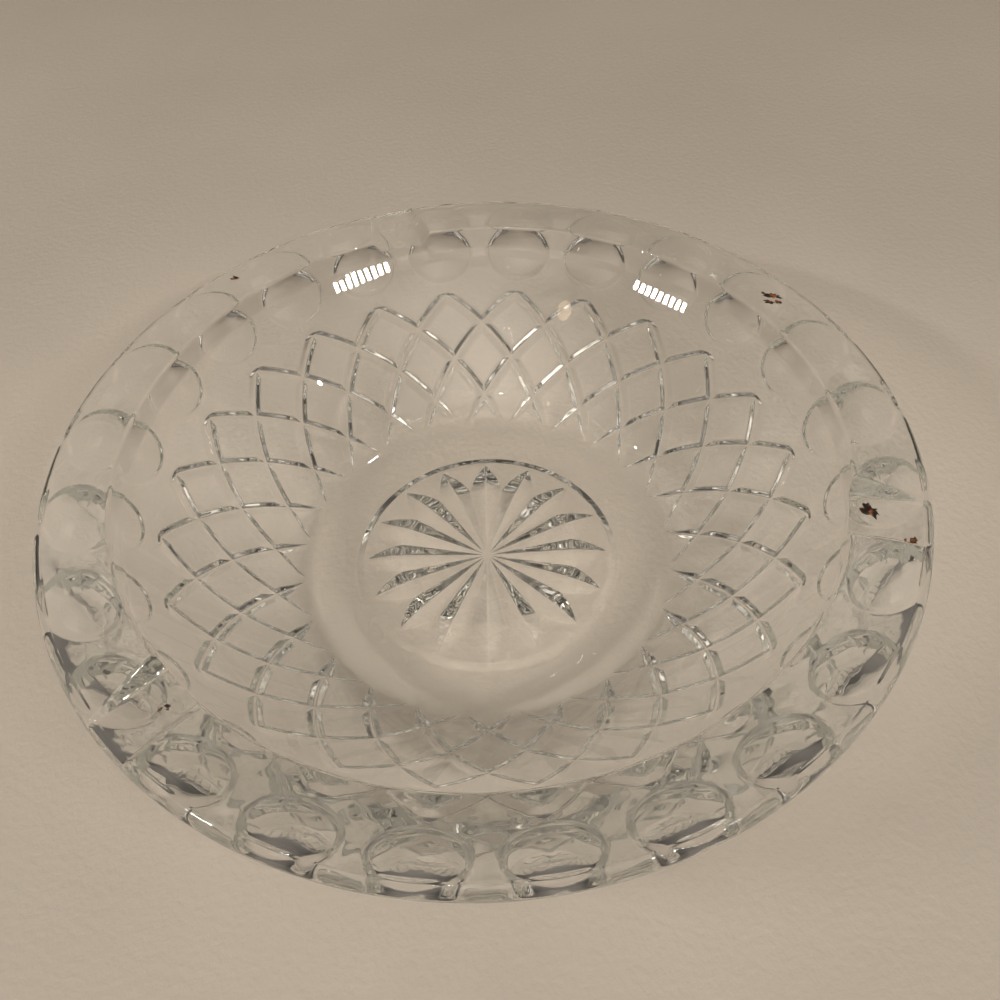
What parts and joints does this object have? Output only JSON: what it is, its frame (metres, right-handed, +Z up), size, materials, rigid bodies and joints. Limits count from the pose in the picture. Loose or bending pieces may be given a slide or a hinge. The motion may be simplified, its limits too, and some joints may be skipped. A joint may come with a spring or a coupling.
{
  "type": "pressed glass ashtray",
  "caption": "Heavy clear pressed-glass bowl ashtray: sloping rim with cigarette rests, thumbprint hollows, diamond lattice wall and a star in the base.",
  "frame": {"origin": "Middle of the flat ring-shaped foot, in the plane that it stands on.", "axes": "+Z is up, out of the bowl. One of the three cigarette rests points along +Y, and the other two at 120 degrees from it. +X is to the right of it seen from above."},
  "size_m": [0.178, 0.178, 0.0415],
  "materials": {
    "clear_glass": "clear fire-polished pressed glass with a faint grey-green tint in thick places"
  },
  "bodies": {
    "root": {"glass_ashtray": "clear_glass"}
  },
  "joints": []
}
